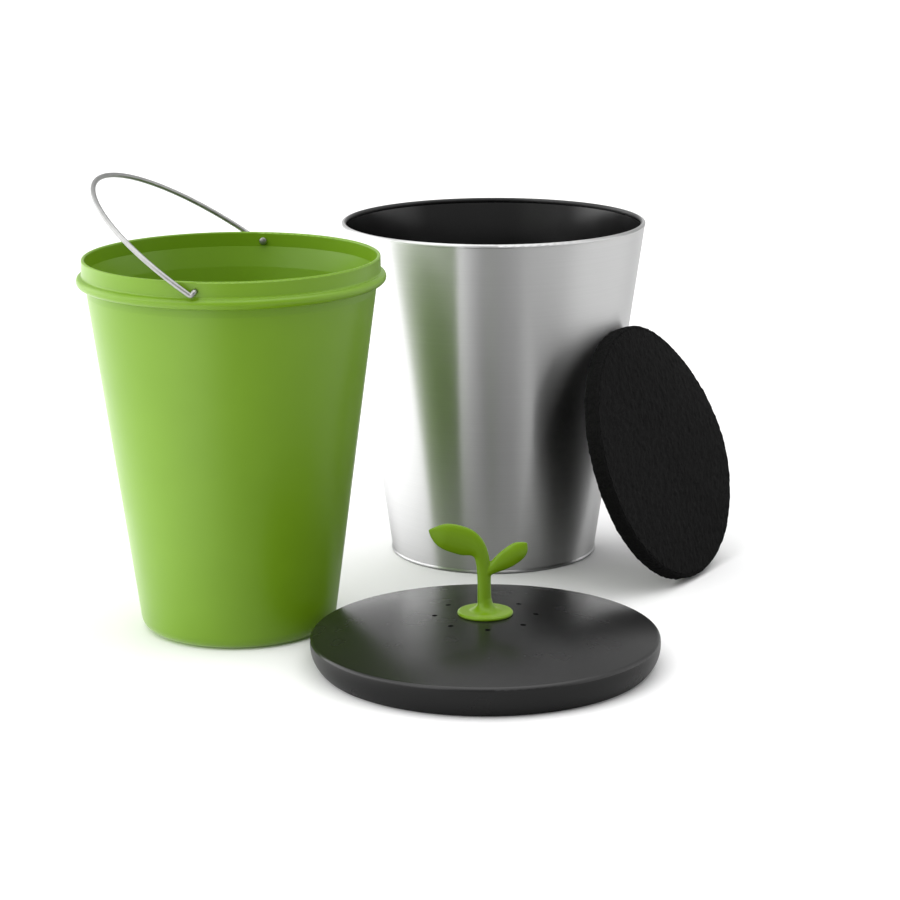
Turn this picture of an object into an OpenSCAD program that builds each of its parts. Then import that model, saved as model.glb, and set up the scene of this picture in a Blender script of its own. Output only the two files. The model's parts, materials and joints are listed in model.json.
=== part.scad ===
// Compost caddy: a steel pail with a black liner, a green bucket with a wire bail,
// a domed lid with a sprout knob, and a carbon foam filter.
// The pail stands on the floor with the centre of its base at the origin, +Z up.
// +X is to the right and +Y to the back, as the set is laid out for a photograph.

/* [Arrangement] */
// How the pieces stand: side by side, or put together as the caddy is used
arrangement = "laid_out"; // [laid_out, assembled]
// Direction from the pail to the bucket beside it, in degrees
bucket_dir = -133; // [-150:1:-132]
// Floor left between the rims of the pail and the bucket
bucket_gap = 39.5; // [30:0.5:80]
// Turn of the bucket about its own axis, in degrees
bucket_turn = -9; // [-20:0.5:20]
// Direction from the pail to the lid in front of it, in degrees
lid_dir = -92; // [-93:1:-80]
// Floor left between the pail and the lid
lid_gap = 49.5; // [45:0.5:90]
// Direction in which the filter leans on the pail, in degrees
filter_dir = -30; // [-45:1:30]
// Lean of the filter from upright, in degrees
filter_lean = 19; // [16:0.5:30]
// Air left between the leaning filter and the pail
lean_gap = 0.4; // [0.3:0.1:1]

/* [Pail] */
// Outer diameter of the pail at its rim
pail_rim_d = 192; // [180:1:210]
// Outer diameter of the pail at the floor
pail_base_d = 130; // [120:0.2:140]
// Height of the pail
pail_h = 213.5; // [195:0.5:240]
// Thickness of the steel sheet
sheet_t = 0.8; // [0.6:0.1:1]
// Diameter of the rolled rim
roll_d = 3; // [2.6:0.1:3.6]
// Wall of the black liner
liner_t = 1.6; // [1.2:0.1:2]
// Floor of the black liner
liner_floor_t = 2; // [1.5:0.1:3]
// Height of the foot ring crimped round the base
foot_h = 2; // [1.8:0.1:4]
// How far the foot ring stands proud of the sleeve
foot_out = 0.6; // [0.6:0.1:1.5]
// How far the middle of the base is raised off the floor
base_lift = 1.4; // [1:0.1:2]

/* [Bucket] */
// Height of the bucket
bucket_h = 219.6; // [200:0.2:245]
// Outer diameter the bucket's wall would have at the floor
bucket_base_d = 113; // [100:0.2:116]
// Wall of the bucket
bucket_t = 2; // [1.6:0.1:2.2]
// Floor of the bucket
bucket_floor_t = 2.4; // [2:0.1:3]
// Radius of the rounded corner at the foot of the bucket
bucket_corner_r = 8; // [6:0.5:12]
// Height of the plain collar above the bead
collar_h = 9.6; // [9:0.1:14]
// Height of the half-round bead below the collar
bead_h = 6; // [4.5:0.5:8]
// How far the bead stands out from the collar
bead_out = 3.2; // [2.4:0.1:3.2]
// Radius of the fillet between the collar and the bead
bead_fillet_r = 1.2; // [0.6:0.1:1.4]
// Height of the upright band between the bead and the tapered wall
band_h = 5; // [3:0.5:8]
// How far the band is set in from the collar
band_in = 2.7; // [2.2:0.1:3]

/* [Bail] */
// Diameter of the wire
wire_d = 3; // [2.5:0.1:3.2]
// Distance from the bucket's lip down to the holes for the wire
pivot_drop = 5.4; // [5:0.1:6]
// Lean of the bail to the left of upright, in degrees
bail_lean = 55.5; // [0:0.5:91]
// How far the wire's ends are cranked out of the plane of its loop
bail_crank = 2.8; // [2:0.1:2.8]
// Straight length of wire between each crank and the half circle
bail_rise = 2; // [1:0.5:4]
// Thickness of the flattened head on each end of the wire
wire_head_t = 1.2; // [1:0.1:1.2]

/* [Lid] */
// How far the lid stands out past the pail's rim
lid_over = 2.8; // [2:0.1:6]
// Height at which the lid is widest
lid_wide_z = 13; // [10:0.5:15]
// Height of the shoulder between the side and the dome
lid_edge_z = 17.5; // [16.5:0.5:20]
// How far the shoulder is set in from the widest place
lid_edge_in = 2; // [1:0.1:3]
// Radius of the rounding between the side and the dome
shoulder_r = 2.5; // [1.5:0.5:3.5]
// Rise of the dome above the shoulder
dome_rise = 11.5; // [11:0.5:18]
// Wall of the lid
lid_t = 2.2; // [1.8:0.1:2.4]
// Number of vent holes
vents = 8; // [6:1:8]
// Diameter of a vent hole
vent_d = 3.2; // [2:0.2:4]
// Diameter of the circle of vent holes
vent_circle_d = 57; // [48:1:70]
// Direction of the first vent hole, in degrees
vent_turn = 2; // [0:1:5]

/* [Filter] */
// Thickness of the foam disc
filter_t = 10; // [8:0.5:10.5]
// Radius of the soft edge of the foam disc
filter_edge_r = 1.5; // [0.5:0.5:3]
// Wall of the ring that holds the filter in the lid
holder_t = 1.5; // [1.4:0.1:2]
// How far each tab reaches under the filter
tab_reach = 3; // [2:0.5:4]
// Width of each tab
tab_w = 14; // [8:1:20]
// Thickness of the tabs
tab_t = 1.4; // [1:0.1:2]
// Width of each spoke of the holder
spoke_w = 6; // [4:0.5:9]
// Thickness of each spoke of the holder
spoke_t = 2; // [1.5:0.1:2.5]

/* [Knob] */
// Diameter of the knob's foot
knob_foot_d = 31.4; // [28:0.2:34]
// Thickness of the knob's foot at its edge
knob_foot_t = 2; // [1.6:0.1:3]
// Width of the stem where the flare of the foot ends
stem_w = 7.7; // [7:0.1:10]
// Height of the stem up to the fork
stem_h = 32.5; // [28:0.5:38]
// How far the large leaf reaches to the left of the stem
leaf_reach = 31.8; // [24:0.2:36]
// Rise of the large leaf's tip above the fork
leaf_rise = 16.4; // [14:0.2:24]
// Greatest width of the large leaf
leaf_w = 16.9; // [13:0.1:20]
// How far the small leaf reaches to the right of the stem
leaflet_reach = 23.4; // [20:0.1:32]
// Rise of the small leaf's tip above the fork
leaflet_rise = 9; // [6:0.2:14]
// Greatest width of the small leaf
leaflet_w = 11.4; // [10:0.1:16]
// Thickness of both leaves
leaf_t = 5; // [4:0.1:6]

/* [Fastening] */
// Diameter of the screw that holds the knob
screw_d = 4; // [3:0.5:4]
// Diameter of the screw's head
screw_head_d = 8; // [7:0.5:9]
// Height of the screw's head
screw_head_h = 2.2; // [1.8:0.1:2.5]
// Length of thread inside the knob
screw_grip = 12; // [8:0.5:16]
// Thickness of the washer
washer_t = 0.8; // [0.5:0.1:1]

/* [Clearances] */
// Gap between the sleeve and the liner
liner_fit = 0.1; // [0.05:0.05:0.2]
// Gap between the mouth of the pail and the bead of the bucket
nest_gap = 4; // [3:0.1:5]
// Running gap of the wire in its holes
pin_fit = 0.1; // [0.05:0.05:0.1]
// Gap between the wire and the collar
wire_gap = 1.2; // [1.2:0.1:1.5]
// Gap between the lid's lower edge and the mouth of the pail
seat_gap = 0.1; // [0.1:0.1:0.4]
// Gap between the filter holder and the inside of the collar, where the wire's heads are
holder_gap = 1.9; // [1.9:0.1:2.4]
// Gap between the filter and its holder
filter_gap = 0.4; // [0.4:0.1:1.2]
// Gap between pieces that are screwed together
joint_gap = 0.05; // [0.05:0.05:0.1]

/* [Hidden] */
$fn = 96;
fine = 720;

// Pail
rim_r = pail_rim_d / 2;
base_r = pail_base_d / 2;
pail_slope = (rim_r - base_r) / pail_h;
pail_angle = atan(pail_slope);
roll_r = roll_d / 2;
mouth_r = rim_r - roll_d;
liner_floor_z = base_lift + sheet_t + liner_fit;
nest_z = liner_floor_z + liner_floor_t;
liner_cove = 4;
liner_edge = 1;
liner_top_z = pail_h - roll_d - liner_fit;
pan_foot_w = 5;
pan_bend = 1.2;
pan_lip_h = 0.6;
pan_lip_w = 0.3;

// Bucket
bead_r = mouth_r - nest_gap;
lip_r = bead_r - bead_out;
collar_in_r = lip_r - bucket_t;
bead_top_z = bucket_h - collar_h;
bead_low_z = bead_top_z - bead_h;
band_low_z = bead_low_z - band_h;
band_r = lip_r - band_in;
bucket_base_r = bucket_base_d / 2;
bucket_slope = (band_r - bucket_base_r) / band_low_z;
bucket_angle = atan(bucket_slope);
foot_recess = 1.5;
foot_rim_w = 3.5;
inner_corner_r = bucket_corner_r / 2;
bucket_floor_z = foot_recess + bucket_floor_t;
lip_round = bucket_t / 2;
bead_curve_r = (pow(bead_out, 2) + pow(bead_h / 2, 2)) / (2 * bead_out);
bead_c = [bead_r - bead_curve_r, bead_low_z + bead_h / 2];
fillet_x = lip_r + bead_fillet_r;
fillet_c = [fillet_x, bead_c[1] + sqrt(pow(bead_curve_r + bead_fillet_r, 2) - pow(fillet_x - bead_c[0], 2))];
room_step = 1;

// Bail
pivot_z = bucket_h - pivot_drop;
wire_r = wire_d / 2;
bail_r = lip_r + wire_gap + wire_r;
head_gap = 0.4;
head_over = 0.7;
head_x = collar_in_r - head_gap - wire_head_t;
bail_down = 91;

// Lid
lid_r = rim_r + lid_over;
seat_r = mouth_r - seat_gap;
seat_w = 1;
tuck_w = lid_r - seat_r;
edge_r = lid_r - lid_edge_in;
dome_z = lid_edge_z + dome_rise;
dome_curve_r = (pow(edge_r, 2) + pow(dome_rise, 2)) / (2 * dome_rise);
dome_c = [0, dome_z - dome_curve_r];
side_curve_r = (pow(tuck_w, 2) + pow(lid_wide_z, 2)) / (2 * tuck_w);
side_c = [lid_r - side_curve_r, lid_wide_z];
shoulder_c = meet(dome_c, dome_curve_r - shoulder_r, side_c, side_curve_r - shoulder_r);
seat_margin = 0.6;
knob_seat_r = knob_foot_d / 2 + seat_margin;
knob_z = dome_at(knob_seat_r);
hub_wall = 4.5;
hub_r = screw_head_d / 2 + hub_wall;
hub_drop = 0.3;
hub_z = dome_in(hub_r) - hub_drop;

// Filter and holder
holder_r = collar_in_r - holder_gap;
filter_r = holder_r - holder_t - filter_gap;
tab_z = 4;
tab_rise = 0.3;
filter_seat_z = tab_z + tab_rise + tab_t;
filter_play = 0.8;
spoke_z = filter_seat_z + filter_t + filter_play;
tabs = 4;

// Knob
leaf_tip_w = 0.6;
leaf_blunt = 3.6;
leaf_peak = 0.5;
leaflet_peak = 0.6;
leaflet_neck = 0.65;
stem_swell = 0.6;
flare_r = 6.6;
foot_round = 1;
foot_bevel = 0.4;
stem_steps = 8;
leaf_steps = 16;
fork = [-1.7, stem_h];
leaflet_fork = [0.6, stem_h * 0.72];
// The places that each curve of the sprout bends toward between its ends
stem_bend = [[-1.2, stem_h * 0.33], [0.25, stem_h * 0.72]];
leaf_bend = [fork + [-2.3, leaf_rise * 0.68], [-leaf_reach * 0.6, stem_h + leaf_rise * 0.62]];
leaflet_bend = [[4.7, stem_h * 0.87], [leaflet_reach * 0.75, stem_h + leaflet_rise * 0.19]];

// Fastening
head_sink = 1.6;
washer_z = spoke_z + screw_head_h + head_sink;
screw_r = screw_d / 2;
screw_play = 0.2;
slot_w = 1;
washer_over = 0.8;
washer_play = 0.15;
washer_r = screw_head_d / 2 + washer_over;

// Places of the pieces
laid_out = arrangement == "laid_out";
bucket_away = rim_r + bead_r + bucket_gap;
lid_away = rim_r + lid_r + lid_gap;
lean_top_z = 2 * filter_r * cos(filter_lean);
filter_away = base_r + pail_slope * lean_top_z + lean_gap
              + filter_r * sin(filter_lean) + filter_t / 2 * cos(filter_lean);
filter_z = filter_r * cos(filter_lean) + filter_t / 2 * sin(filter_lean);
lid_on_z = pail_h - roll_r - lid_wide_z + joint_gap
           + sqrt(pow(side_curve_r + roll_r, 2) - pow(rim_r - roll_r - side_c[0], 2));

// Height of the domed top of the lid at a radius, and of its inner face
function dome_at(r) = dome_c[1] + sqrt(pow(dome_curve_r, 2) - pow(r, 2));
function dome_in(r) = dome_c[1] + sqrt(pow(dome_curve_r - lid_t, 2) - pow(r, 2));
// The place, on the right, where two circles cross
function meet(a, ra, b, rb) =
    let (d = norm(b - a), u = (b - a) / d, x = (ra * ra - rb * rb + d * d) / (2 * d))
    a + x * u + sqrt(ra * ra - x * x) * [u[1], -u[0]];
// The place where a circle touches a smaller one that lies inside it
function touch(c, r, inner) = c + r * (inner - c) / norm(inner - c);
// Radius of the pail's outer wall at a height
function pail_wall(z) = base_r + pail_slope * z;
// A point of a cubic curve
function bezier(p, t) = pow(1 - t, 3) * p[0] + 3 * t * pow(1 - t, 2) * p[1]
                        + 3 * pow(t, 2) * (1 - t) * p[2] + pow(t, 3) * p[3];
// The direction of a cubic curve
function bezier_dir(p, t) =
    let (d = 3 * pow(1 - t, 2) * (p[1] - p[0]) + 6 * t * (1 - t) * (p[2] - p[1])
             + 3 * pow(t, 2) * (p[3] - p[2]))
    d / norm(d);
function smooth(x) = x * x * (3 - 2 * x);
// Width along a leaf, from its neck over its widest place to its pointed tip
function leaf_width(t, neck, full, peak) =
    t < peak ? neck + (full - neck) * smooth(t / peak) : full * (1 - pow((t - peak) / (1 - peak), leaf_blunt));

// The steel sleeve: a tapered tube with its rim rolled inward
module pail_sleeve() {
    t = sheet_t / cos(pail_angle);
    color("silver") union() {
        rotate_extrude()
            polygon([[pail_wall(sheet_t) - t, sheet_t], [pail_wall(sheet_t), sheet_t],
                     [pail_wall(pail_h - roll_r), pail_h - roll_r],
                     [pail_wall(pail_h - roll_r) - t, pail_h - roll_r]]);
        rotate_extrude() translate([rim_r - roll_r, pail_h - roll_r]) circle(r = roll_r);
    }
}

// The pressed base, crimped round the foot of the sleeve
module base_pan() {
    out = pail_wall(foot_h) + foot_out;
    raised_r = base_r - pan_foot_w;
    color("silver") rotate_extrude()
        polygon([[0, base_lift], [raised_r, base_lift], [raised_r + pan_bend, 0],
                 [out - sheet_t, 0], [out, sheet_t], [out, foot_h - pan_lip_h],
                 [out - pan_lip_w, foot_h], [pail_wall(foot_h) + joint_gap, foot_h],
                 [pail_wall(sheet_t) + joint_gap, sheet_t], [raised_r + pan_bend, sheet_t],
                 [raised_r, base_lift + sheet_t], [0, base_lift + sheet_t]]);
}

// The black liner that makes the pail smooth inside
module pail_liner() {
    skin = (sheet_t + liner_fit) / cos(pail_angle);
    wall = liner_t / cos(pail_angle);
    out_low = pail_wall(liner_floor_z) - skin;
    out_top = pail_wall(liner_top_z) - skin;
    color([0.08, 0.08, 0.08]) rotate_extrude() difference() {
        polygon([[0, liner_floor_z], [out_low - liner_edge, liner_floor_z],
                 [out_low, liner_floor_z + liner_edge], [out_top, liner_top_z], [0, liner_top_z]]);
        cavity_section(pail_wall(0) - skin - wall, pail_slope, nest_z, liner_cove, pail_h);
    }
}

// Half the section of a tapered hollow with a rounded corner at its floor
module cavity_section(base, slope, floor_z, corner_r, top_z) {
    a = atan(slope);
    corner = [base + (floor_z + corner_r) * slope - corner_r / cos(a), floor_z + corner_r];
    tangent = corner + corner_r * [cos(a), -sin(a)];
    polygon([[0, floor_z], [corner[0], floor_z], corner, tangent, [base + top_z * slope, top_z], [0, top_z]]);
    translate(corner) circle(r = corner_r);
}

// Half the outer section of the bucket: foot, tapered wall, band, bead and collar
module bucket_outline() {
    r = bucket_corner_r;
    corner = [bucket_base_r + r * bucket_slope - r / cos(bucket_angle), r];
    foot_r = corner[0] - foot_rim_w;
    polygon([[0, foot_recess], [foot_r - foot_recess, foot_recess], [foot_r, 0], [corner[0], 0], corner,
             corner + r * [cos(bucket_angle), -sin(bucket_angle)],
             [band_r, band_low_z], [band_r, bead_low_z], [lip_r, bead_low_z],
             [lip_r, bucket_h - lip_round], [0, bucket_h - lip_round]]);
    translate(corner) circle(r = r);
    translate(bead_c) circle(r = bead_curve_r);
    difference() {
        polygon([bead_c, touch(bead_c, bead_curve_r, fillet_c), fillet_c,
                 [collar_in_r, fillet_c[1]], [collar_in_r, bead_c[1]]]);
        translate(fillet_c) circle(r = bead_fillet_r);
    }
}

// Half the section of the room inside the bucket
module bucket_room() {
    wall = bucket_t / cos(bucket_angle);
    polygon([[0, bucket_h], [collar_in_r, bucket_h], [collar_in_r, bead_top_z + room_step],
             [band_r - wall, band_low_z], [0, band_low_z]]);
    cavity_section(bucket_base_r - wall, bucket_slope, bucket_floor_z, inner_corner_r, band_low_z);
}

// The bucket, with its rounded lip and the two holes for the wire
module bucket_shell() {
    color([0.48, 0.70, 0.20]) place_bucket() difference() {
        rotate_extrude() {
            difference() {
                bucket_outline();
                bucket_room();
            }
            translate([lip_r - lip_round, bucket_h - lip_round]) circle(r = lip_round);
        }
        for (side = [0, 180])
            translate([0, 0, pivot_z]) rotate([90, 0, side])
                translate([0, 0, head_x]) cylinder(r = wire_r + pin_fit, h = bead_r - head_x);
    }
}

// One end of the bail: cranked, bent in through the collar and flattened to a head inside it
module bail_end() {
    for (z = [0, bail_crank]) translate([bail_r, 0, z]) sphere(r = wire_r);
    translate([bail_r, 0, 0]) cylinder(r = wire_r, h = bail_crank);
    translate([bail_r, 0, bail_crank]) rotate([-90, 0, 0]) cylinder(r = wire_r, h = bail_rise);
    translate([head_x, 0, 0]) rotate([0, 90, 0]) {
        cylinder(r = wire_r, h = bail_r - head_x);
        cylinder(r = wire_r + head_over, h = wire_head_t);
    }
}

// The bail: one wire bent to a half circle, with both ends through the collar
module bail_wire() {
    lean = laid_out ? bail_lean : bail_down;
    color([0.75, 0.76, 0.76]) place_bucket() translate([0, 0, pivot_z]) rotate([0, -lean, 0])
        rotate([90, 0, -90]) union() {
            translate([0, bail_rise, bail_crank]) rotate_extrude(angle = 180)
                translate([bail_r, 0]) circle(r = wire_r);
            bail_end();
            mirror([1, 0, 0]) bail_end();
        }
}

// Half the outer section of the lid: a shallow dome and a side that tucks in to the seat
module lid_outline(in = 0) {
    intersection() {
        translate(dome_c) circle(r = dome_curve_r - in, $fn = fine);
        union() {
            translate(side_c) circle(r = side_curve_r - in, $fn = fine);
            square([side_c[0], dome_z]);
        }
        square([lid_r + 1, dome_z + 1]);
    }
}

// The lid's shell, with its rounded shoulder, the flat for the knob and the hub below it
module lid_shell() {
    on_dome = touch(dome_c, dome_curve_r, shoulder_c);
    on_side = touch(side_c, side_curve_r, shoulder_c);
    rotate_extrude() difference() {
        union() {
            difference() {
                lid_outline();
                polygon([shoulder_c, on_side, on_side + on_dome - shoulder_c, on_dome]);
            }
            translate(shoulder_c) circle(r = shoulder_r);
        }
        difference() {
            union() {
                lid_outline(lid_t);
                square([seat_r - seat_w, lid_t]);
            }
            translate([0, hub_z]) square([hub_r, dome_rise]);
        }
        translate([0, knob_z]) square([knob_seat_r, dome_rise]);
    }
}

// The lid with its vents and the hole for the knob's screw
module lid_cover() {
    color([0.24, 0.24, 0.25]) place_lid() difference() {
        lid_shell();
        for (i = [0:vents - 1]) rotate([0, 0, vent_turn + i * 360 / vents])
            translate([vent_circle_d / 2, 0, lid_wide_z]) cylinder(d = vent_d, h = dome_z, $fn = 32);
        cylinder(r = screw_r + screw_play, h = dome_z + 1, $fn = 32);
    }
}

// The holder under the lid: ring, tabs, spokes and a hub for the screw
module filter_holder() {
    ring_top = dome_in(holder_r) - joint_gap;
    color([0.20, 0.20, 0.21]) place_lid() difference() {
        union() {
            rotate_extrude() translate([holder_r - holder_t, tab_z]) square([holder_t, ring_top - tab_z]);
            for (i = [0:tabs - 1]) rotate([0, 0, i * 360 / tabs])
                translate([holder_r - holder_t - tab_reach, -tab_w / 2, tab_z + tab_rise])
                    cube([tab_reach + holder_t / 2, tab_w, tab_t]);
            for (turn = [0, 90]) rotate([0, 0, turn])
                translate([holder_t / 2 - holder_r, -spoke_w / 2, spoke_z])
                    cube([2 * holder_r - holder_t, spoke_w, spoke_t]);
            translate([0, 0, spoke_z]) cylinder(r = hub_r, h = hub_z - joint_gap - spoke_z);
        }
        translate([0, 0, spoke_z - 1])
            cylinder(r = washer_r + screw_play, h = washer_z + washer_t + joint_gap + 1 - spoke_z, $fn = 48);
        translate([0, 0, spoke_z]) cylinder(r = screw_r + screw_play, h = hub_z, $fn = 32);
    }
}

// A smooth limb of the sprout, lofted through rounded sections: each ring is a place on
// its curve, the curve's direction there, and the limb's width and depth
module limb(rings, sides = 18) {
    n = len(rings) - 1;
    pts = [for (ring = rings, k = [0:sides - 1])
        let (a = 360 * k / sides, c = ring[0], d = ring[1], u = ring[2] / 2 * cos(a))
        [c[0] + u * d[1], ring[3] / 2 * sin(a), c[1] - u * d[0]]];
    walls = [for (i = [0:n - 1], k = [0:sides - 1]) let (m = (k + 1) % sides)
        each [[i * sides + k, (i + 1) * sides + m, i * sides + m],
              [i * sides + k, (i + 1) * sides + k, (i + 1) * sides + m]]];
    polyhedron(pts, concat(walls, [[for (k = [0:sides - 1]) k]],
                           [[for (k = [sides - 1:-1:0]) n * sides + k]]));
}

// Rings of a leaf along a curve: neck, widest place and pointed tip
function leaf_rings(path, neck, full, peak) =
    [for (i = [0:leaf_steps]) let (t = i / leaf_steps)
        [bezier(path, t), bezier_dir(path, t), max(leaf_tip_w, leaf_width(t, neck, full, peak)),
         max(leaf_tip_w, leaf_t * min(1, 1.5 * (1 - pow(t, 4))))]];

// Half the section of the knob's foot, with its rounded edge and the flare up to the stem
module knob_foot_section() {
    r = knob_foot_d / 2;
    flare = [stem_w / 2 + flare_r, knob_foot_t + flare_r];
    polygon([[0, 0], [r - foot_bevel, 0], [r, foot_bevel], [r, knob_foot_t - foot_round],
             [r - foot_round, knob_foot_t - foot_round], [r - foot_round, knob_foot_t], [0, knob_foot_t]]);
    translate([r - foot_round, knob_foot_t - foot_round]) circle(r = foot_round);
    difference() {
        square(flare);
        translate(flare) circle(r = flare_r);
    }
}

// The knob: a round foot flared into a stem that forks into two leaves, in one moulding
module knob_sprout() {
    stem = [[0, knob_foot_t / 2], stem_bend[0], stem_bend[1], fork];
    leaf = [fork, leaf_bend[0], leaf_bend[1], [-leaf_reach, stem_h + leaf_rise]];
    leaflet = [leaflet_fork, leaflet_bend[0], leaflet_bend[1], [leaflet_reach, stem_h + leaflet_rise]];
    stem_rings = [for (i = [0:stem_steps - 1]) let (t = i / stem_steps)
        [bezier(stem, t), bezier_dir(stem, t), stem_w + stem_swell * abs(2 * t - 1),
         stem_w - (stem_w - leaf_t) * smooth(t)]];
    color([0.50, 0.72, 0.10]) place_lid() translate([0, 0, knob_z]) difference() {
        union() {
            rotate_extrude() knob_foot_section();
            limb(concat(stem_rings, leaf_rings(leaf, stem_w + stem_swell, leaf_w, leaf_peak)));
            limb(leaf_rings(leaflet, stem_w * leaflet_neck, leaflet_w, leaflet_peak));
        }
        translate([0, 0, -1]) cylinder(r = screw_r + joint_gap, h = screw_grip + 2, $fn = 32);
    }
}

// The screw that clamps the holder and the lid to the knob
module knob_screw() {
    color("gray") place_lid() translate([0, 0, washer_z - screw_head_h]) difference() {
        union() {
            cylinder(d = screw_head_d, h = screw_head_h - joint_gap, $fn = 48);
            cylinder(r = screw_r, h = knob_z + screw_grip - washer_z + screw_head_h, $fn = 32);
        }
        for (turn = [0, 90]) rotate([0, 0, turn])
            translate([-screw_r, -slot_w / 2, -1]) cube([screw_d, slot_w, 2]);
    }
}

// The washer between the screw's head and the holder
module knob_washer() {
    color("darkgray") place_lid() translate([0, 0, washer_z]) difference() {
        cylinder(r = washer_r, h = washer_t, $fn = 48);
        translate([0, 0, -1]) cylinder(r = screw_r + washer_play, h = washer_t + 2, $fn = 32);
    }
}

// The carbon foam filter
module filter_disc() {
    e = filter_edge_r;
    color([0.12, 0.12, 0.12]) place_filter() rotate_extrude() {
        translate([0, -filter_t / 2]) square([filter_r - e, filter_t]);
        translate([0, e - filter_t / 2]) square([filter_r, filter_t - 2 * e]);
        for (z = [e - filter_t / 2, filter_t / 2 - e]) translate([filter_r - e, z]) circle(r = e);
    }
}

// The bucket beside the pail, or inside it on the liner's floor
module place_bucket() {
    if (laid_out)
        rotate([0, 0, bucket_dir]) translate([bucket_away, 0, 0]) rotate([0, 0, bucket_turn - bucket_dir])
            children();
    else translate([0, 0, nest_z]) children();
}

// The lid on the floor in front of the pail, or on its rim
module place_lid() {
    if (laid_out)
        rotate([0, 0, lid_dir]) translate([lid_away, 0, 0]) rotate([0, 0, -lid_dir]) children();
    else translate([0, 0, lid_on_z]) children();
}

// The filter leaning on the side of the pail, or in its holder under the lid
module place_filter() {
    if (laid_out)
        rotate([0, 0, filter_dir]) translate([filter_away, 0, filter_z]) rotate([0, 90 - filter_lean, 0])
            children();
    else translate([0, 0, lid_on_z + filter_seat_z + filter_t / 2 + joint_gap]) children();
}

pail_sleeve();
base_pan();
pail_liner();
bucket_shell();
bail_wire();
lid_cover();
filter_holder();
knob_sprout();
knob_screw();
knob_washer();
filter_disc();
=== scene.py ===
"""A compost caddy laid out on a pale floor: its materials, its soft and bent pieces, and the light.

The steel pail, the green bucket, the lid and the small fastenings are the CAD's own solids. The foam
filter, the wire and the sprout knob are made here in more detail and stand for theirs.
"""

import json
import math

import bmesh
import bpy
import numpy as np
from mathutils import Matrix, Vector, noise


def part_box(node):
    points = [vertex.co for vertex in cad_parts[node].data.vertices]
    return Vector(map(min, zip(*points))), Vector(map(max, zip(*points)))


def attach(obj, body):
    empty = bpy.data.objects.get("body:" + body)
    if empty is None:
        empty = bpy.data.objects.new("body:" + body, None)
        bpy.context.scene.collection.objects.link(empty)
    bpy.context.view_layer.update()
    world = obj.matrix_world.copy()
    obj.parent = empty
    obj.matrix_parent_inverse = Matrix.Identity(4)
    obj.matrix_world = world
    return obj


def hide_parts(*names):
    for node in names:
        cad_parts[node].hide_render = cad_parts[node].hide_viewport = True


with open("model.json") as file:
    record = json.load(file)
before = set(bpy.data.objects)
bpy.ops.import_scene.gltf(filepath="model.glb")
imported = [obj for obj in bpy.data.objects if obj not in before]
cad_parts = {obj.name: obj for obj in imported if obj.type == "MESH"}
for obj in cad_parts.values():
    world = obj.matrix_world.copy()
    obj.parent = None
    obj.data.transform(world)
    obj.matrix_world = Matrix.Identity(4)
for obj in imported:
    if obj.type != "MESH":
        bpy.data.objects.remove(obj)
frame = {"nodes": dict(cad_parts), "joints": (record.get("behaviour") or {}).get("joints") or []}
cad = frame["nodes"]
joints = {joint["name"]: joint for joint in frame["joints"]}
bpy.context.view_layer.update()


# Small helpers

# Where Blender's Mix node keeps its two colours and the mixed one
MIX_FIRST, MIX_SECOND, MIX_RESULT = 6, 7, 2


def fill(tree, node, values):
    """Sets a node's inputs to values, or joins them to sockets."""
    for name, value in values.items():
        if isinstance(value, bpy.types.NodeSocket):
            tree.links.new(value, node.inputs[name])
        else:
            node.inputs[name].default_value = value


def add_node(tree, kind, values=None, **settings):
    """A shader node with its settings and its inputs."""
    made = tree.nodes.new("ShaderNode" + kind)
    for name, setting in settings.items():
        setattr(made, name, setting)
    fill(tree, made, values or {})
    return made


def place_on_piece(tree):
    """The place on the piece, in metres."""
    return add_node(tree, "TexCoord").outputs["Object"]


def axis_of(tree, vector, axis):
    """One of a vector's three parts."""
    return add_node(tree, "SeparateXYZ", {"Vector": vector}).outputs[axis]


def calculate(tree, operation, first, second):
    """The sum, the difference or the product of two values."""
    return add_node(tree, "Math", {0: first, 1: second}, operation=operation).outputs["Value"]


def scaled(tree, vector, factors):
    """A vector with each of its parts scaled."""
    return add_node(tree, "VectorMath", {0: vector, 1: factors}, operation="MULTIPLY").outputs["Vector"]


def levelled(tree, vector):
    """A way brought level, with length one."""
    flat = scaled(tree, vector, (1.0, 1.0, 0.0))
    return add_node(tree, "VectorMath", {0: flat}, operation="NORMALIZE").outputs["Vector"]


def reach_along(tree, vector, way):
    """How far a vector reaches along a way."""
    return add_node(tree, "VectorMath", {0: vector, 1: way}, operation="DOT_PRODUCT").outputs["Value"]


def remap(tree, value, span, target=(0.0, 1.0), eased=False):
    """The value moved from one span to another; eased softens both ends."""
    kind = "SMOOTHSTEP" if eased else "LINEAR"
    ends = {"From Min": span[0], "From Max": span[1], "To Min": target[0], "To Max": target[1]}
    return add_node(tree, "MapRange", {"Value": value, **ends}, interpolation_type=kind).outputs["Result"]


def mixed(tree, factor, first, second):
    """The colour between two colours."""
    values = {"Factor": factor, MIX_FIRST: first, MIX_SECOND: second}
    return add_node(tree, "Mix", values, data_type="RGBA").outputs[MIX_RESULT]


def new_group(name, inputs, outputs):
    """A node group with its sockets; inputs and outputs map a socket's name to its kind."""
    tree = bpy.data.node_groups.new(name, "ShaderNodeTree")
    for sockets, way in ((inputs, "INPUT"), (outputs, "OUTPUT")):
        for label, kind in sockets.items():
            tree.interface.new_socket(name=label, in_out=way, socket_type="NodeSocket" + kind)
    source = tree.nodes.new("NodeGroupInput")
    result = tree.nodes.new("NodeGroupOutput")
    return tree, source.outputs, result.inputs


def use_group(tree, group, values):
    """A shared effect placed in a material with its own values: what it puts out."""
    made = tree.nodes.new("ShaderNodeGroup")
    made.node_tree = group
    fill(tree, made, values)
    return made.outputs


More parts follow.
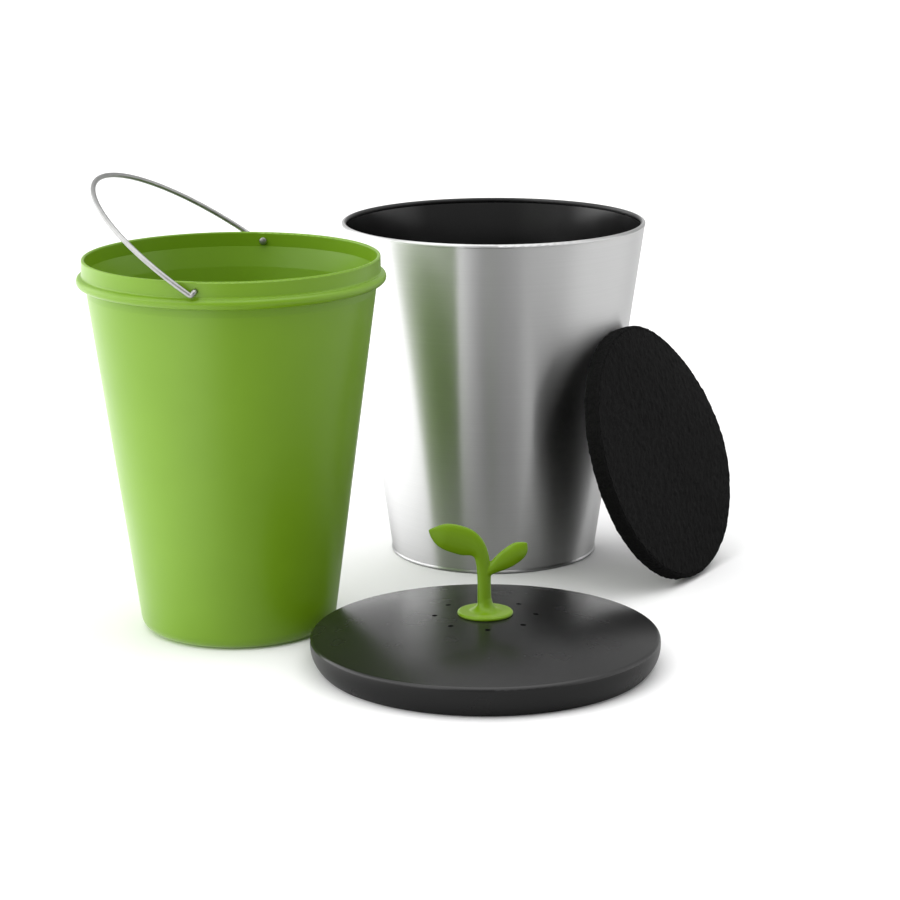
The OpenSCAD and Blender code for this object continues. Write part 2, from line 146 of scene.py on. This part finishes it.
def new_material(name):
    """An empty material, its node tree and its Principled shader."""
    material = bpy.data.materials.new(name)
    material.use_nodes = True
    tree = material.node_tree
    return material, tree, tree.nodes["Principled BSDF"]


def mesh_piece(name, points, faces, material, smooth=True):
    """A mesh object from points and faces, in metres in the shared frame."""
    mesh = bpy.data.meshes.new(name)
    mesh.from_pydata([tuple(p) for p in points], [], faces)
    mesh.materials.append(material)
    if smooth:
        mesh.shade_smooth()
    mesh.update()
    piece = bpy.data.objects.new(name, mesh)
    bpy.context.scene.collection.objects.link(piece)
    return piece


def corners_of(node):
    """The CAD node's vertices as an array."""
    return np.array([v.co for v in cad[node].data.vertices])


def paint(node, material):
    """Gives a CAD node its material."""
    for slot in cad[node].material_slots:
        slot.material = material


# Effects that several materials share

# Most of a noise's values lie in this span
NOISE_SPAN = (0.3, 0.7)

# How fine the brushing is along its streaks; each material says how fine it is across them
ALONG_STREAKS = 9.0


def mottle_group():
    """A slow uneven tone between two colours, with its mask."""
    tree, given, out = new_group("uneven tone",
                                 {"Colour A": "Color", "Colour B": "Color", "Scale": "Float"},
                                 {"Colour": "Color", "Mask": "Float"})
    cloud = add_node(tree, "TexNoise", {"Vector": place_on_piece(tree), "Scale": given["Scale"],
                                        "Detail": 3.0, "Roughness": 0.55})
    mask = remap(tree, cloud.outputs["Fac"], NOISE_SPAN)
    tree.links.new(mixed(tree, mask, given["Colour A"], given["Colour B"]), out["Colour"])
    tree.links.new(mask, out["Mask"])
    return tree


def skin_group():
    """The fine texture of a satin moulding: a normal and a value for the roughness."""
    tree, given, out = new_group("moulded skin",
                                 {"Fineness": "Float", "Depth": "Float", "Low": "Float", "High": "Float"},
                                 {"Normal": "Vector", "Roughness": "Float"})
    place = place_on_piece(tree)
    grain = add_node(tree, "TexNoise", {"Vector": place, "Scale": given["Fineness"], "Detail": 2.0,
                                        "Roughness": 0.6})
    wear = add_node(tree, "TexNoise", {"Vector": place, "Scale": 34.0, "Detail": 4.0})
    bump = add_node(tree, "Bump", {"Height": grain.outputs["Fac"], "Strength": given["Depth"],
                                   "Distance": 0.0002})
    rough = remap(tree, wear.outputs["Fac"], NOISE_SPAN, (given["Low"], given["High"]))
    tree.links.new(bump.outputs["Normal"], out["Normal"])
    tree.links.new(rough, out["Roughness"])
    return tree


def brushed_group():
    """Fine brushing that runs round an upright piece: a streak mask and a normal."""
    tree, given, out = new_group("brushing", {"Fineness": "Float", "Depth": "Float"},
                                 {"Streak": "Float", "Normal": "Vector"})
    fine = add_node(tree, "CombineXYZ", {"X": ALONG_STREAKS, "Y": ALONG_STREAKS, "Z": given["Fineness"]})
    drawn_out = scaled(tree, place_on_piece(tree), fine.outputs["Vector"])
    grain = add_node(tree, "TexNoise", {"Vector": drawn_out, "Scale": 1.0, "Detail": 4.0, "Roughness": 0.7})
    bump = add_node(tree, "Bump", {"Height": grain.outputs["Fac"], "Strength": given["Depth"],
                                   "Distance": 0.0001})
    tree.links.new(grain.outputs["Fac"], out["Streak"])
    tree.links.new(bump.outputs["Normal"], out["Normal"])
    return tree


MOTTLE, SKIN, BRUSHED = mottle_group(), skin_group(), brushed_group()


# The mouldings

MOULDING_MOTTLE, SKIN_FINENESS, SKIN_DEPTH = 16.0, 1500.0, 0.015

# How far the knob's surface has turned away where its painted sheen starts and ends, and how strong the
# painted sheen gets
SHEEN_SPAN, SHEEN_SHARE = (0.5, 0.95), (0.0, 0.9)


def uneven_tone(tree, dark, light, scale):
    """The uneven tone between a material's own two colours."""
    return use_group(tree, MOTTLE, {"Colour A": (*dark, 1), "Colour B": (*light, 1), "Scale": scale})


def moulded_skin(tree, roughness):
    """The moulded skin with a material's own roughness, from low to high."""
    return use_group(tree, SKIN, {"Fineness": SKIN_FINENESS, "Depth": SKIN_DEPTH, "Low": roughness[0],
                                  "High": roughness[1]})


def moulded_plastic(name, dark, light, roughness, gloss=0.5):
    """A satin moulding with a slightly uneven colour and sheen."""
    material, tree, shader = new_material(name)
    tone = uneven_tone(tree, dark, light, MOULDING_MOTTLE)
    skin = moulded_skin(tree, roughness)
    fill(tree, shader, {"Base Color": tone["Colour"], "Roughness": skin["Roughness"],
                        "Normal": skin["Normal"], "Specular IOR Level": gloss})
    return material


def liner_plastic():
    """The pail's nearly black liner, the smoothest of the mouldings."""
    return moulded_plastic("black liner", (0.004, 0.004, 0.004), (0.006, 0.006, 0.006),
                           roughness=(0.15, 0.20))


def bucket_plastic():
    """The bucket's green."""
    return moulded_plastic("green bucket", (0.150, 0.296, 0.004), (0.162, 0.316, 0.006),
                           roughness=(0.32, 0.37), gloss=0.42)


def lid_plastic():
    """The lid's charcoal."""
    return moulded_plastic("charcoal lid", (0.008, 0.008, 0.008), (0.011, 0.011, 0.011),
                           roughness=(0.25, 0.28), gloss=0.38)


def holder_plastic():
    """The filter holder's charcoal, duller than the lid's."""
    return moulded_plastic("charcoal holder", (0.014, 0.014, 0.014), (0.018, 0.018, 0.018),
                           roughness=(0.40, 0.50))


def knob_plastic():
    """The knob's green, with a painted sheen that makes it paler where its surface turns away."""
    material, tree, shader = new_material("bright green knob")
    tone = uneven_tone(tree, (0.128, 0.242, 0.002), (0.142, 0.264, 0.003), MOULDING_MOTTLE)
    skin = moulded_skin(tree, roughness=(0.30, 0.36))
    turned = add_node(tree, "LayerWeight", {"Blend": 0.5}).outputs["Facing"]
    # Painted sheen: a pale green is mixed in where the surface turns away from the view
    rim, pale = remap(tree, turned, SHEEN_SPAN, SHEEN_SHARE), (0.26, 0.37, 0.09, 1)
    fill(tree, shader, {"Base Color": mixed(tree, rim, tone["Colour"], pale),
                        "Roughness": skin["Roughness"], "Normal": skin["Normal"],
                        "Specular IOR Level": 0.25})
    return material


# The metals, the foam and the floor

# The steel is bare where it faces outward, and black where it faces the pail's middle
INWARD_SPAN = (0.0, -0.35)

# The fibres' noise, from where they are darkest to where they are lightest
FIBRE_SPAN = (0.42, 0.68)

# The floor that the pieces mirror has a painted shade, darker towards the left, and further to the left it
# glows as painted light
SHADE_SPAN, SHADE_TONES = (0.1, 0.4), (0.40, 0.62)
GLOW_WAY, GLOW_SPAN = (-1.0, 0.15, 0.0), (0.03, 0.28)


def brushed_steel():
    """Stainless sheet brushed round the pail, so that reflections draw out up and down; black inside."""
    material, tree, shader = new_material("brushed stainless steel")
    brushing = use_group(tree, BRUSHED, {"Fineness": 5200.0, "Depth": 0.02})
    dark, light, black = (0.600, 0.602, 0.600, 1), (0.650, 0.652, 0.650, 1), (0.008, 0.008, 0.008, 1)
    bare = mixed(tree, remap(tree, brushing["Streak"], NOISE_SPAN), dark, light)
    place = add_node(tree, "TexCoord").outputs
    facing = reach_along(tree, place["Normal"], levelled(tree, place["Object"]))
    inside = remap(tree, facing, INWARD_SPAN)
    around = add_node(tree, "Tangent", direction_type="RADIAL", axis="Z")
    fill(tree, shader, {"Base Color": mixed(tree, inside, bare, black),
                        "Metallic": remap(tree, inside, (0.0, 1.0), (1.0, 0.0)),
                        "Roughness": remap(tree, brushing["Streak"], NOISE_SPAN, (0.34, 0.38)),
                        "Anisotropic": 1.0, "Anisotropic Rotation": 0.25,
                        "Tangent": around.outputs["Tangent"], "Normal": brushing["Normal"]})
    return material


def plated_metal(name, dark, light, scale, roughness):
    """Plated metal with faint marks in its tone and its sheen."""
    material, tree, shader = new_material(name)
    tone = uneven_tone(tree, dark, light, scale)
    fill(tree, shader, {"Base Color": tone["Colour"], "Metallic": 1.0,
                        "Roughness": remap(tree, tone["Mask"], (0.0, 1.0), roughness)})
    return material


def bright_wire():
    """The bail's plated wire."""
    return plated_metal("bright wire", (0.30, 0.30, 0.295), (0.38, 0.38, 0.375), scale=240.0,
                        roughness=(0.36, 0.44))


def zinc_plate():
    """The plating of the screw and the washer."""
    return plated_metal("plated fastening", (0.42, 0.42, 0.40), (0.58, 0.58, 0.57), scale=420.0,
                        roughness=(0.32, 0.45))


def carbon_foam():
    """Black open-celled foam: matted fibres that catch a little light."""
    material, tree, shader = new_material("carbon foam")
    place = place_on_piece(tree)
    bend = add_node(tree, "TexNoise", {"Vector": place, "Scale": 260.0, "Detail": 3.0})
    shift = add_node(tree, "MixRGB", {"Fac": 0.012, "Color1": place, "Color2": bend.outputs["Color"]},
                     blend_type="ADD")
    cells = add_node(tree, "TexVoronoi", {"Vector": shift.outputs["Color"], "Scale": 700.0})
    matting = add_node(tree, "TexNoise", {"Vector": place, "Scale": 1300.0, "Detail": 5.0,
                                          "Roughness": 0.75})
    fibres = matting.outputs["Fac"]
    bump = add_node(tree, "Bump", {"Height": calculate(tree, "ADD", cells.outputs["Distance"], fibres),
                                   "Strength": 0.8, "Distance": 0.0012})
    dark, light = (0.003, 0.003, 0.003, 1), (0.009, 0.009, 0.009, 1)
    colour = mixed(tree, remap(tree, fibres, FIBRE_SPAN), dark, light)
    fill(tree, shader, {"Base Color": colour, "Roughness": 0.82, "Normal": bump.outputs["Normal"],
                        "Specular IOR Level": 0.1})
    return material


def pale_floor():
    """The plain pale floor. To the pieces it is greyer than to the camera, darkened towards the left by a
    painted shade, and further left it glows as painted light.
    """
    material, tree, shader = new_material("pale floor")
    tone = uneven_tone(tree, (0.86, 0.86, 0.86), (0.88, 0.88, 0.88), scale=2.0)
    place = place_on_piece(tree)
    # Painted shade: to the pieces the floor is darker towards the left
    painted_shade = remap(tree, axis_of(tree, place, "X"), SHADE_SPAN, SHADE_TONES)
    # Painted light: to the pieces only, the floor glows on the left, though it is no lamp
    painted_glow = remap(tree, reach_along(tree, place, GLOW_WAY), GLOW_SPAN, eased=True)
    seen = add_node(tree, "LightPath").outputs["Is Camera Ray"]
    unseen = calculate(tree, "SUBTRACT", 1.0, seen)
    # The camera sees the even pale tone; the pieces see the painted shade and the painted glow
    fill(tree, shader, {"Base Color": mixed(tree, seen, painted_shade, tone["Colour"]), "Roughness": 0.75,
                        "Specular IOR Level": 0.15, "Emission Strength": 1.4,
                        "Emission Color": calculate(tree, "MULTIPLY", painted_glow, unseen)})
    return material


# Camera, floor and light

CAMERA_PLACE = (-0.02795, -1.7539, 0.491)
CAMERA_DOWN_DEG, CAMERA_ROLL = 13.68, -0.0044
SENSOR_MM, LENS_MM = 36.0, 112.1
FLOOR_HALF, FLOOR_Z = 60.0, -0.0002
LAMP_PLACE, LAMP_STRENGTH, LAMP_WIDTH_DEG = (-1.9, -1.2, 1.6), 1.0, 50

# How bright the room is all round, and what each of its sides adds
DARK_ROOM = 0.40
LEFT_WALL, LEFT_HALF, RIGHT_WALL, BACK_WALL, CEILING = 2.4, 0.20, 0.9, 0.15, 1.9

# The ways to the side walls, and where each side fades in, as a share of its own way or of the height
LEFT_WAY, RIGHT_WAY = (-0.96, 0.28, 0.0), (1.0, 0.1, 0.0)
LEFT_FADE, LEFT_TOP_FADE, LEFT_HALF_FADE = (0.72, 0.98), (0.75, 0.35), (0.0, 0.3)
RIGHT_FADE, BACK_FADE, CEILING_FADE = (0.74, 0.98), (0.3, 0.9), (0.66, 0.98)


def place_camera():
    """Stands where the photograph was taken from: in front, a little above the rims."""
    data = bpy.data.cameras.new("camera")
    data.sensor_width = SENSOR_MM
    data.lens = LENS_MM
    camera = bpy.data.objects.new("camera", data)
    down = Matrix.Rotation(math.radians(90 - CAMERA_DOWN_DEG), 4, "X")
    roll = Matrix.Rotation(CAMERA_ROLL, 4, "Z")
    camera.matrix_world = Matrix.Translation(CAMERA_PLACE) @ (down @ roll)
    bpy.context.scene.collection.objects.link(camera)
    bpy.context.scene.camera = camera


def lay_floor():
    """A wide plain floor just under the pieces."""
    corners = [(x * FLOOR_HALF, y * FLOOR_HALF, FLOOR_Z) for x, y in ((-1, -1), (1, -1), (1, 1), (-1, 1))]
    floor = mesh_piece("floor", corners, [(0, 1, 2, 3)], pale_floor(), smooth=False)


def light_room():
    """A studio room: bright at the left, dimmer above and at the right, dark behind the camera."""
    world = bpy.data.worlds.new("studio")
    bpy.context.scene.world = world
    world.use_nodes = True
    tree = world.node_tree
    way = add_node(tree, "TexCoord").outputs["Generated"]
    level = levelled(tree, way)
    leftward = reach_along(tree, level, LEFT_WAY)
    rightward = reach_along(tree, level, RIGHT_WAY)
    backward = axis_of(tree, level, "Y")
    height = axis_of(tree, way, "Z")
    wall = remap(tree, leftward, LEFT_FADE, eased=True)
    wall_top = remap(tree, height, LEFT_TOP_FADE, (0.0, LEFT_WALL), eased=True)
    total = calculate(tree, "MULTIPLY", wall, wall_top)
    sides = ((rightward, RIGHT_FADE, RIGHT_WALL), (leftward, LEFT_HALF_FADE, LEFT_HALF),
             (height, CEILING_FADE, CEILING), (backward, BACK_FADE, BACK_WALL))
    for value, fade, strength in sides:
        total = calculate(tree, "ADD", total, remap(tree, value, fade, (0.0, strength), eased=True))
    fill(tree, tree.nodes["Background"], {"Color": (1.0, 1.0, 1.0, 1),
                                          "Strength": calculate(tree, "ADD", total, DARK_ROOM)})
    bpy.context.scene.view_settings.view_transform = "Standard"


def hang_lamp():
    """One broad lamp at the front left, pointing at the pieces."""
    light = bpy.data.lights.new("broad_light", "SUN")
    light.energy = LAMP_STRENGTH
    light.angle = math.radians(LAMP_WIDTH_DEG)
    lamp = bpy.data.objects.new("broad_light", light)
    lamp.location = LAMP_PLACE
    lamp.rotation_euler = (-Vector(LAMP_PLACE)).to_track_quat("-Z", "Y").to_euler()
    bpy.context.scene.collection.objects.link(lamp)


# The foam filter, in metres

FOAM_CELLS = 112  # cells across its face
FOAM_EDGE = 0.0016  # radius of its rounded edge
EDGE_DEGREES = (60, 30, 0)  # where the rounded edge's rows lie
SIDE_ROWS = 5  # rows on the side between the two rounded edges
FOAM_BOW = 0.0016  # how far its middle stands out past its top and bottom
FOAM_CURL = 0.0046  # how far its upper right edge bends back
CURL_START = 0.4  # where the bend starts, as a share of the radius
LUMP_HEIGHT = 0.0005
LUMP_FINENESS = 330
LUMP_LAYERS = (0.7, 2.1, 4)  # how fast the layers fade, how much finer each one is, and their number
FIBRE_FINENESS, FIBRE_SHARE = 1400, 0.6
WAVER_FINENESS, RIM_WAVER = 28, 0.005  # the rim's slow unevenness, as a share of the radius


def round_grid(count):
    """A square grid drawn out to a unit disc: its points, its quads and its border in order."""
    points = []
    for a in np.linspace(-1, 1, count + 1):
        for b in np.linspace(-1, 1, count + 1):
            if abs(a) >= abs(b):
                r, turn = a, (math.pi / 4) * (b / a if a else 0.0)
            else:
                r, turn = b, math.pi / 2 - (math.pi / 4) * (a / b)
            points.append((r * math.cos(turn), r * math.sin(turn)))
    row = count + 1
    quads = [(i * row + j, (i + 1) * row + j, (i + 1) * row + j + 1, i * row + j + 1)
             for i in range(count) for j in range(count)]
    border = [i * row for i in range(count)] + [count * row + j for j in range(count)]
    border += [i * row + count for i in range(count, 0, -1)] + list(range(count, 0, -1))
    return points, quads, border


def flat_foam(radius, half):
    """A flat disc with rounded edges: its points as (right, up, out, share that is rim) and its faces."""
    disc, quads, border = round_grid(FOAM_CELLS)
    inner, side = radius - FOAM_EDGE, half - FOAM_EDGE
    rounded = [(inner + FOAM_EDGE * math.cos(a), side + FOAM_EDGE * math.sin(a), math.cos(a))
               for a in np.radians(EDGE_DEGREES)]
    rows = rounded + [(radius, z, 1.0) for z in np.linspace(side, -side, SIDE_ROWS + 2)[1:-1]]
    rows += [(r, -z, rim) for r, z, rim in reversed(rounded)]
    spots = [(u * inner, v * inner, half, 0.0) for u, v in disc]
    rings = [border]
    for r, z, rim in rows:
        rings.append(range(len(spots), len(spots) + len(border)))
        spots += [(disc[k][0] * r, disc[k][1] * r, z, rim) for k in border]
    back = len(spots)
    spots += [(u * inner, v * inner, -half, 0.0) for u, v in disc]
    rings.append([back + k for k in border])
    faces = quads + [(upper[k], lower[k], lower[k - 1], upper[k - 1])
                     for upper, lower in zip(rings, rings[1:]) for k in range(len(border))]
    faces += [tuple(back + k for k in reversed(quad)) for quad in quads]
    return spots, faces


def matted(spot, radius):
    """A point of the flat disc with its lumps, its uneven rim, its bow and its curl: right, up and out."""
    u, v, z, rim = spot
    at = Vector((u, v, z))
    lumps = noise.fractal(at * LUMP_FINENESS, *LUMP_LAYERS) + FIBRE_SHARE * noise.noise(at * FIBRE_FINENESS)
    rise = LUMP_HEIGHT * lumps
    grow = 1 + rim * (rise / radius + RIM_WAVER * noise.noise(at * WAVER_FINENESS))
    upper_right = (u + v) / (math.sqrt(2) * radius)
    bent = max(0.0, (upper_right - CURL_START) / (1 - CURL_START))
    out = z + rise * (1 - rim) * (1 if z > 0 else -1)
    out += FOAM_BOW * (0.5 - (v / radius) ** 2) - FOAM_CURL * bent ** 2
    return u * grow, v * grow, out


def foam_filter(material):
    """The foam disc: slightly bowed, one edge curled back, with a matted surface and a soft rim."""
    normal = Vector(joints["filter_lift"]["axis"]).normalized()
    low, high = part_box("filter_disc")
    centre = (low + high) / 2
    points = corners_of("filter_disc") - np.array(centre)
    depth = points @ np.array(normal)
    half = float(depth.max() - depth.min()) / 2
    radius = float(np.linalg.norm(points - np.outer(depth, np.array(normal)), axis=1).max())
    up = (Vector((0, 0, 1)) - normal * normal.z).normalized()
    right = up.cross(normal)
    spots, faces = flat_foam(radius, half)
    verts = []
    for spot in spots:
        u, v, out = matted(spot, radius)
        verts.append(centre + right * u + up * v + normal * out)
    piece = mesh_piece("foam_filter", verts, faces, material)
    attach(piece, "filter")
    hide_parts("filter_disc")


# The wire, in metres

WIRE_R, WIRE_SIDES = 0.0015, 20

# The flattened head: each row's place from the wire's tip, and its radius
HEAD = ((0.0, 0.0019), (0.0002, 0.0022), (0.0011, 0.0022), (0.0015, 0.0016), (0.0025, WIRE_R))

# Where the CAD wire is measured: near its loop's middle, and on its arms between two distances
# from the pivot
NEAR_MIDDLE, ARM_START, ARM_END = 0.004, 0.02, 0.04


def arc(centre, radius, start, end, steps):
    """Points of a circle's arc, from one angle to another, in degrees."""
    turns = np.radians(np.linspace(start, end, steps))
    return [(centre[0] + radius * math.cos(a), centre[1] + radius * math.sin(a)) for a in turns]


def half_route(tip, loop, rise, crank):
    """The wire's middle line from its tip to the top of its loop: along the pivot, up the bail, aside."""
    bend = crank / 2
    route = [(tip + x, 0, 0) for x, _ in HEAD]
    route += [(x, 0, z) for x, z in arc((loop - bend, bend), bend, -90, 0, steps=7)]
    route += [(loop, y, z) for y, z in arc((bend, crank - bend), bend, 165, 90, steps=6)]
    route += [(x, y, crank) for x, y in arc((0, rise), loop, 0, 90, steps=46)]
    return route


def swept_tube(name, path, radii, material):
    """A round tube along a path, closed at both ends."""
    last, sides = len(path) - 1, WIRE_SIDES
    ahead = [(path[min(i + 1, last)] - path[max(i - 1, 0)]).normalized() for i in range(len(path))]
    across = ahead[0].orthogonal().normalized()
    verts, faces = [], []
    for point, way, radius in zip(path, ahead, radii):
        across = (across - way * across.dot(way)).normalized()
        over = way.cross(across)
        verts += [point + radius * (math.cos(a) * across + math.sin(a) * over)
                  for a in (2 * math.pi * k / sides for k in range(sides))]
    for i in range(last):
        for k in range(sides):
            m = (k + 1) % sides
            faces.append((i * sides + k, i * sides + m, (i + 1) * sides + m, (i + 1) * sides + k))
    faces.append(tuple(reversed(range(sides))))
    faces.append(tuple(last * sides + k for k in range(sides)))
    return mesh_piece(name, verts, faces, material)


def bent_wire(material):
    """The bail: one wire, cranked outside each hole, with a flattened head inside it."""
    hinge = joints["bail_swing"]
    pivot, along = Vector(hinge["pos_m"]), Vector(hinge["axis"]).normalized()
    points = corners_of("bail_wire") - np.array(pivot)
    reach = points @ np.array(along)
    flat = points - np.outer(reach, np.array(along))
    away = np.linalg.norm(flat, axis=1)
    loop = float(reach.max()) - WIRE_R
    tip = float(np.abs(reach[away < 2 * WIRE_R]).min())
    middle = flat[np.abs(reach) < NEAR_MIDDLE].mean(axis=0)
    arms = flat[(away > ARM_START) & (away < ARM_END)].mean(axis=0)
    apex = Vector(middle - arms).normalized()
    aside = Vector(middle) - apex * Vector(middle).dot(apex)
    crank, aside = aside.length, aside.normalized()
    rise = float((flat @ np.array(apex)).max()) - WIRE_R - loop
    half = half_route(tip, loop, rise, crank)
    route = half + [(-x, y, z) for x, y, z in reversed(half[:-1])]
    radii = [radius for _, radius in HEAD] + [WIRE_R] * (len(half) - len(HEAD))
    radii += list(reversed(radii[:-1]))
    path = [pivot + along * x + apex * y + aside * z for x, y, z in route]
    piece = swept_tube("bent_wire", path, radii, material)
    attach(piece, "bail")
    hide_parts("bail_wire")


# The sprout knob, in metres

SAME_POINT = 1e-6  # points closer than this are joined
KNOB_CELL = 0.0004  # size of the even mesh's cells
SOFTENING, SOFTENING_ROUNDS = 0.5, 10


def sprout_knob(material):
    """The knob's moulding with its corners softened, made from the CAD's own solid."""
    mesh = cad["knob_sprout"].data.copy()
    shape = bmesh.new()
    shape.from_mesh(mesh)
    bmesh.ops.remove_doubles(shape, verts=shape.verts, dist=SAME_POINT)
    shape.to_mesh(mesh)
    shape.free()
    rough = bpy.data.objects.new("sprout_before_softening", mesh)
    bpy.context.scene.collection.objects.link(rough)
    even = rough.modifiers.new("even mesh", "REMESH")
    even.mode, even.voxel_size = "VOXEL", KNOB_CELL
    soften = rough.modifiers.new("soften", "SMOOTH")
    soften.factor, soften.iterations = SOFTENING, SOFTENING_ROUNDS
    made = bpy.data.meshes.new_from_object(rough.evaluated_get(bpy.context.evaluated_depsgraph_get()))
    bpy.data.objects.remove(rough)
    made.materials.clear()
    made.materials.append(material)
    made.shade_smooth()
    piece = bpy.data.objects.new("sprout_knob", made)
    bpy.context.scene.collection.objects.link(piece)
    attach(piece, "lid")
    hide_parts("knob_sprout")


def dress_solids():
    """Gives the CAD's own solids their materials."""
    steel = brushed_steel()
    paint("pail_sleeve", steel)
    paint("base_pan", steel)
    paint("pail_liner", liner_plastic())
    paint("bucket_shell", bucket_plastic())
    paint("lid_cover", lid_plastic())
    paint("filter_holder", holder_plastic())
    plating = zinc_plate()
    paint("knob_screw", plating)
    paint("knob_washer", plating)


place_camera()
lay_floor()
light_room()
hang_lamp()
dress_solids()
foam_filter(carbon_foam())
bent_wire(bright_wire())
sprout_knob(knob_plastic())
